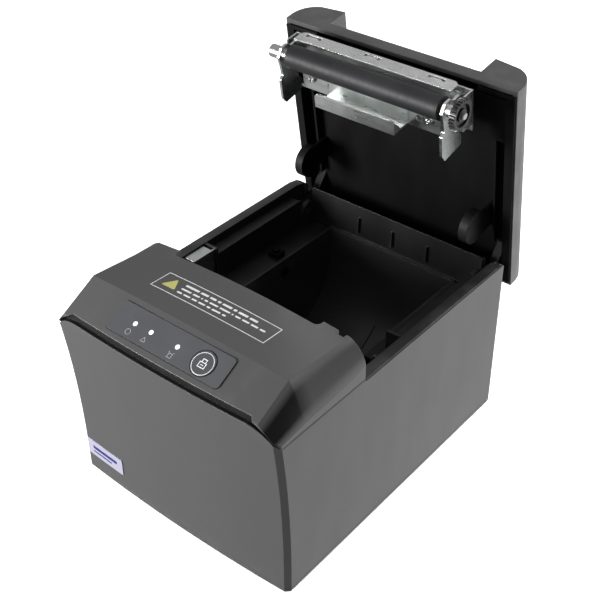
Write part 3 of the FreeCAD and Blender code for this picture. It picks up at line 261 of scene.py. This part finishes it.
# One finish for each material slot of the part's record
FINISH = {
    "case_grey": moulded("grey_case", GREY, 0.43, wear=0.5, spread=0.025),
    "black_plastic": moulded("black_inner", (0.0035, 0.0035, 0.0038), 0.50, grain=0.6, wear=1.0, shine=0.15),
    "panel_black": moulded("panel_film", (0.070, 0.071, 0.077), 0.40,
                           grain=0.25, depth=0.008, edge=0.1, wear=0.1),
    "button_grey": moulded("button_cap", (0.066, 0.067, 0.073), 0.36,
                           grain=0.25, depth=0.008, edge=0.4, wear=0.2),
    "lens_white": lens("lens_frosted", (0.92, 0.96, 1.0), 0.7),
    "badge_white": moulded("badge_plate", (0.36, 0.35, 0.44), 0.35,
                           grain=0.2, depth=0.004, edge=0.15, wear=0.1),
    "zinc_steel": sheet_metal("zinc_sheet", (0.62, 0.64, 0.63), 0.30,
                              along=(1, 8, 8), spread=0.05, strength=0.02),
    "blade_steel": sheet_metal("ground_steel", (0.86, 0.86, 0.87), 0.28,
                               along=(1, 6, 6), spread=0.04, strength=0.02),
    "screw_steel": sheet_metal("turned_steel", (0.62, 0.61, 0.60), 0.26, along=(30, 1, 1)),
    "head_aluminium": sheet_metal("head_metal", (0.60, 0.60, 0.62), 0.38),
    "roller_rubber": rubber("platen_rubber", (0.016, 0.016, 0.018), 0.50, along=(1, 0.15, 0.15), shine=0.3),
    "foot_rubber": rubber("foot_rubber_mat", (0.012, 0.012, 0.012), 0.70),
    "gear_black": moulded("gear_acetal", (0.010, 0.010, 0.011), 0.30, grain=0.3, edge=0.15, wear=1.5),
    "gear_white": moulded("gear_natural", (0.55, 0.54, 0.48), 0.40, edge=0.15, wear=0.2),
    "board_green": board("circuit_board"),
    "port_black": moulded("socket_black", (0.012, 0.012, 0.013), 0.38, grain=0.35, wear=0.5),
    "port_steel": sheet_metal("socket_shell", (0.66, 0.66, 0.65), 0.28),
}

# Nodes that look a little different from the rest of their slot
OWN_FINISH = {
    # The cover's own copy of the grey case, with painted shade on its cheeks.
    "top_cover": moulded("grey_cover", GREY, 0.40, wear=0.5, spread=0.025, painted_shade=painted_shoulder_shade),
    # A darker, rougher black for the trim behind the front groove: painted shade in the groove.
    "front_trim": moulded("black_trim", (0.0025, 0.0025, 0.0025), 0.60, wear=0.1),
    # Lighter blacks for the frame and the bucket: painted light in place of fill light on these shaded inner
    # parts.
    "inner_frame": moulded("black_frame", (0.0130, 0.0130, 0.0134), 0.40, grain=0.6, wear=1.4),
    "paper_bucket": moulded("black_bucket", (0.0300, 0.0300, 0.0304), 0.38, grain=0.6, wear=1.0),
}


def finish_cad_nodes():
    """Give every CAD node its own finish, or else the one of its slot."""
    slots = {part["node"]: part["material_slot"] for part in frame["record"]["subparts"]}
    for node, thing in frame["nodes"].items():
        thing.data.materials.clear()
        thing.data.materials.append(OWN_FINISH.get(node) or FINISH[slots[node]])


# ---------------------------------------------------------------- pieces on a surface

# Millimetres: where a ray starts above a surface, how high ink stands on it and how deep its skirt goes
START_ABOVE = 12
PRINT_LIFT, BADGE_LIFT = 0.03, 0.04
PRINT_SUNK = 0.05


def linked(name, bm, material):
    """An object made from a bmesh, in the scene."""
    mesh = bpy.data.meshes.new(name)
    bm.to_mesh(mesh)
    bm.free()
    mesh.materials.append(material)
    thing = bpy.data.objects.new(name, mesh)
    bpy.context.scene.collection.objects.link(thing)
    return thing


class Surface:
    """Millimetres across and along, laid onto a CAD node's outer face."""

    def __init__(self, node, origin, across, along):
        mesh = frame["nodes"][node].data
        corners = [vertex.co for vertex in mesh.vertices]
        self.tree = BVHTree.FromPolygons(corners, [face.vertices for face in mesh.polygons])
        self.origin, self.across, self.along = origin, across.normalized(), along.normalized()
        self.out = self.across.cross(self.along).normalized()

    def at(self, a, b, lift):
        """The point lift above the face at (a, b), or above the plain sheet where there is no face."""
        start = self.origin + (self.across * a + self.along * b + self.out * START_ABOVE) * MM
        hit = self.tree.ray_cast(start, -self.out)[0]
        base = hit if hit is not None else self.origin + (self.across * a + self.along * b) * MM
        return base + self.out * (lift * MM)


def filled(bm, surface, outline, lift=PRINT_LIFT):
    """A thin patch with the given outline, its skirt sunk into the surface."""
    top = [bm.verts.new(surface.at(a, b, lift)) for a, b in outline]
    low = [bm.verts.new(surface.at(a, b, -PRINT_SUNK)) for a, b in outline]
    bm.faces.new(top)
    count = len(outline)
    for i in range(count):
        j = (i + 1) % count
        bm.faces.new((top[i], low[i], low[j], top[j]))


def line(bm, surface, points, width, lift=PRINT_LIFT, closed=True, step=2.5):
    """A printed line of constant width along straight pieces, following the surface."""
    count = len(points)
    sides = []
    for i in range(count):
        here = Vector(points[i])
        before = Vector(points[(i - 1) % count]) if closed or i else here
        after = Vector(points[(i + 1) % count]) if closed or i < count - 1 else here
        along = [(d.normalized() if d.length > 1e-9 else None) for d in (here - before, after - here)]
        along = [d for d in along if d is not None]
        mean = sum(along, Vector((0, 0))).normalized()
        normal = Vector((-mean.y, mean.x))
        spread = width / 2 / max(0.35, abs(normal.dot(Vector((-along[0].y, along[0].x)))))
        sides.append((here - normal * spread, here + normal * spread))
    for i in range(count if closed else count - 1):
        (a0, b0), (a1, b1) = sides[i], sides[(i + 1) % count]
        pieces = max(1, round((a1 - a0).length / step))
        for k in range(pieces):
            s, t = k / pieces, (k + 1) / pieces
            corners = [a0.lerp(a1, s), a0.lerp(a1, t), b0.lerp(b1, t), b0.lerp(b1, s)]
            filled(bm, surface, [tuple(c) for c in corners], lift)


def arc(centre, radius, start=0, end=360, steps=40):
    """Points on an arc in degrees; a full turn leaves out the point that would come twice."""
    count = steps if end - start >= 360 else steps + 1
    angles = [radians(start + (end - start) * i / steps) for i in range(count)]
    return [(centre[0] + radius * cos(angle), centre[1] + radius * sin(angle)) for angle in angles]


def rectangle(a0, a1, b0, b1):
    return [(a0, b0), (a1, b0), (a1, b1), (a0, b1)]


def rounded_box(a0, a1, b0, b1, radius):
    points = []
    for ca, cb, start in ((a1 - radius, b1 - radius, 0), (a0 + radius, b1 - radius, 90),
                          (a0 + radius, b0 + radius, 180), (a1 - radius, b0 + radius, 270)):
        points += arc((ca, cb), radius, start, start + 90, 3)
    return points


def piece(name, bm, material, body):
    """A small fitting that moves with a body."""
    bmesh.ops.remove_doubles(bm, verts=bm.verts, dist=1e-7)
    bmesh.ops.recalc_face_normals(bm, faces=bm.faces)
    thing = linked(name, bm, material)
    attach(thing, body)


# ---------------------------------------------------------------- printed marks

WHITE_INK = ink("white_ink", (0.80, 0.81, 0.82))
GREY_INK = ink("grey_ink", (0.36, 0.37, 0.40))
YELLOW_INK = ink("yellow_ink", (0.55, 0.53, 0.16))
BLUE_INK = ink("blue_ink", (0.02, 0.02, 0.16))

# The sloping panel's outward direction, and the two directions along it
SLOPE_OUT = -Vector(JOINTS["feed_button_press"]["axis"]).normalized()
ACROSS = Vector((1, 0, 0))
UP_SLOPE = SLOPE_OUT.cross(ACROSS)


def panel_icons():
    """Icons under the three lights: a ring, a triangle and a sheet of paper."""
    low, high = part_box("led_lenses")
    surface = Surface("control_panel", centre_of("led_lenses"), ACROSS, UP_SLOPE)
    half = (high.x - low.x) / 2 / MM
    ring, triangle, sheet = (-half + 0.6, -5.0), (-half + 10.9, -5.0), (half - 1.9, -4.9)
    thin, thick = 0.26, 0.3
    bm = bmesh.new()
    line(bm, surface, arc(ring, 1.45), thin)
    line(bm, surface, arc(triangle, 1.6, 90, 450, 3), thin)
    a, b = sheet
    line(bm, surface, rectangle(a - 1.1, a + 1.1, b - 1.5, b + 0.7), thick)
    for side in (-1, 1):
        line(bm, surface, [(a + side * 1.1, b + 1.3), (a + side * 1.8, b + 1.3)], thick, closed=False)
    piece("panel_icons", bm, GREY_INK, "printer_body")


def button_mark():
    """Ring and paper-feed mark printed on the feed button's cap."""
    surface = Surface("feed_button", centre_of("feed_button"), ACROSS, UP_SLOPE)
    bm = bmesh.new()
    line(bm, surface, arc((0, 0), 5.7, steps=72), 0.32)
    line(bm, surface, rectangle(-1.9, 1.9, -2.0, 0.6), 0.42)
    line(bm, surface, [(-1.0, 0.8), (-1.0, 2.4), (1.2, 2.4), (1.2, 0.8)], 0.42, closed=False)
    line(bm, surface, [(-0.9, -0.7), (0.9, -0.7)], 0.36, closed=False)
    piece("button_mark", bm, WHITE_INK, "button")


NOTICE_X, NOTICE_Y = (-35.5, 37.2), (-72.0, -58.5)
NOTICE_HALF = (NOTICE_X[1] - NOTICE_X[0]) / 2, (NOTICE_Y[1] - NOTICE_Y[0]) / 2

# Rows of dashes: height above the notice's middle, dash height, width of one unit, units in each dash
NOTICE_ROWS = (
    (3.3, 1.45, 0.98, (9, 5, 4, 2, 6, 2, 6, 5)),
    (0.0, 1.15, 1.08, (6, 4, 1, 2, 5, 6, 1, 3, 4, 4, 3)),
    (-3.2, 1.15, 1.08, (3, 4, 3, 4, 2, 5, 2)),
)
ROW_MARGIN, DASH_GAP, DASH_CORNER = 14.5, 1.15, 0.4


def notice_frame_and_rows(surface):
    """A thin outline and three plain rows of dashes."""
    half_a, half_b = NOTICE_HALF
    bm = bmesh.new()
    line(bm, surface, rectangle(-half_a, half_a, -half_b, half_b), 0.42)
    for b, tall, unit, dashes in NOTICE_ROWS:
        a = -half_a + ROW_MARGIN
        for units in dashes:
            end = a + units * unit
            filled(bm, surface, rounded_box(a, end, b - tall / 2, b + tall / 2, DASH_CORNER))
            a = end + DASH_GAP
    piece("notice_print", bm, WHITE_INK, "printer_body")


def notice_triangle(surface):
    """A blank triangle with rounded corners at the notice's left end."""
    middle_a, middle_b = -NOTICE_HALF[0] + 8.0, 0.2
    outline = []
    for corner in ((-4.4, -3.2), (4.4, -3.2), (0.2, 4.2)):
        inward = Vector((0, -0.9)) - Vector(corner)
        start = degrees(atan2(inward.y, inward.x)) + 120
        turn = arc(Vector(corner) + inward.normalized(), 0.6, start, start + 120, 5)
        outline += [(middle_a + a, middle_b + b) for a, b in turn]
    bm = bmesh.new()
    filled(bm, surface, outline)
    piece("notice_triangle", bm, YELLOW_INK, "printer_body")


def notice():
    """Framed notice on the cover, without any words."""
    middle = place(sum(NOTICE_X) / 2, sum(NOTICE_Y) / 2, 128)
    surface = Surface("top_cover", middle, ACROSS, Vector((0, 1, 0)))
    notice_frame_and_rows(surface)
    notice_triangle(surface)


def badge_print():
    """Plain blue bar and rule on the blank badge."""
    low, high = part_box("front_badge")
    surface = Surface("front_badge", (low + high) / 2, ACROSS, Vector((0, 0, 1)))
    half = (high.x - low.x) / 2 / MM
    bm = bmesh.new()
    for height, margin, width in ((0.9, 4.5, 2.1), (-2.1, 9.0, 1.0)):
        ends = [(-half + 4.5, height), (half - margin, height)]
        line(bm, surface, ends, width, BADGE_LIFT, closed=False, step=1.2)
    piece("badge_print", bm, BLUE_INK, "printer_body")


# ---------------------------------------------------------------- light, floor and camera

FLOOR_HALF, FLOOR_GLOW = 6.0, 0.62


def floor():
    """Pale, faintly glowing floor that throws no light back onto the printer."""
    material, shader = new_material("pale_floor", (0.93, 0.93, 0.93), 0.8)
    shader.inputs["Emission Color"].default_value = (1, 1, 1, 1)
    shader.inputs["Emission Strength"].default_value = FLOOR_GLOW
    cloud = noise(material, coordinates(material), 3, 2)
    join(material, ranged(material, cloud, 0.3, 0.7, 0.74, 0.86), shader.inputs["Roughness"])
    bm = bmesh.new()
    corners = rectangle(-FLOOR_HALF, FLOOR_HALF, -FLOOR_HALF, FLOOR_HALF)
    bm.faces.new([bm.verts.new((x, y, 0)) for x, y in corners])
    thing = linked("floor", bm, material)
    thing.visible_diffuse = False
    thing.visible_glossy = False


def softbox(name, position, target, size, power, shine=True):
    """A rectangular light; without shine it lights surfaces but isn't mirrored in them."""
    data = bpy.data.lights.new(name, "AREA")
    data.shape = "RECTANGLE"
    data.size, data.size_y = size
    data.energy = power
    light = bpy.data.objects.new(name, data)
    light.location = position
    light.rotation_mode = "QUATERNION"
    light.rotation_quaternion = (Vector(target) - Vector(position)).to_track_quat("-Z", "Y")
    light.visible_glossy = shine
    light.visible_camera = False
    bpy.context.scene.collection.objects.link(light)


SKY_STRENGTH = 0.38
# Parts of the surroundings: direction, cosine at the edge and inside, brightness outside and inside
DIM_SIDE = ((0.83, 0.38, 0.40), 0.55, 0.92, 1.0, 0.08)
BRIGHT_REAR = ((0.50, 0.66, -0.56), 0.70, 0.95, 0.0, 1.5)


def sky_patch(tree, where, direction, start, full, outside, inside):
    """Brightness that changes from outside to inside around one direction."""
    towards = tree.nodes.new("ShaderNodeVectorMath")
    towards.operation = "DOT_PRODUCT"
    towards.inputs[1].default_value = Vector(direction).normalized()
    patch = tree.nodes.new("ShaderNodeMapRange")
    for name, value in (("From Min", start), ("From Max", full), ("To Min", outside), ("To Max", inside)):
        patch.inputs[name].default_value = value
    tree.links.new(where, towards.inputs[0])
    tree.links.new(towards.outputs["Value"], patch.inputs["Value"])
    return patch.outputs["Result"]


def surroundings():
    """Even surroundings, dimmer to the right and brighter low down behind."""
    world = bpy.data.worlds.new("studio")
    bpy.context.scene.world = world
    world.use_nodes = True
    tree = world.node_tree
    background = tree.nodes["Background"]
    background.inputs["Strength"].default_value = SKY_STRENGTH
    where = tree.nodes.new("ShaderNodeTexCoord").outputs["Generated"]
    total = tree.nodes.new("ShaderNodeMath")
    for i, patch in enumerate((DIM_SIDE, BRIGHT_REAR)):
        tree.links.new(sky_patch(tree, where, *patch), total.inputs[i])
    tree.links.new(total.outputs[0], background.inputs["Color"])


def studio():
    """A dim top light, and two low lights for the front and for the right-hand side."""
    surroundings()
    softbox("top_light", (0.1, 0.6, 1.5), (0, 0, 0.1), (1.2, 1.0), 6)
    softbox("left_light", (-0.50, -0.80, 0.26), (0, 0, 0.06), (0.4, 0.4), 15)
    softbox("right_light", (0.62, 0.66, 0.26), (0.05, 0.05, 0.06), (0.4, 0.4), 16, shine=False)


CAMERA_AT, CAMERA_TOWARDS = place(304.5, -371.4, 447.5), place(-20.9, 25.4, 68.7)
CAMERA_LENS = 67.4


def camera():
    """The photograph's view."""
    data = bpy.data.cameras.new("camera")
    data.sensor_width = 36.0
    data.lens = CAMERA_LENS
    data.clip_start, data.clip_end = 0.01, 50
    thing = bpy.data.objects.new("camera", data)
    thing.location = CAMERA_AT
    thing.rotation_mode = "QUATERNION"
    thing.rotation_quaternion = (CAMERA_TOWARDS - CAMERA_AT).to_track_quat("-Z", "Y")
    bpy.context.scene.collection.objects.link(thing)
    bpy.context.scene.camera = thing
    bpy.context.scene.view_settings.view_transform = "Standard"


finish_cad_nodes()
panel_icons()
button_mark()
notice()
badge_print()
floor()
studio()
camera()
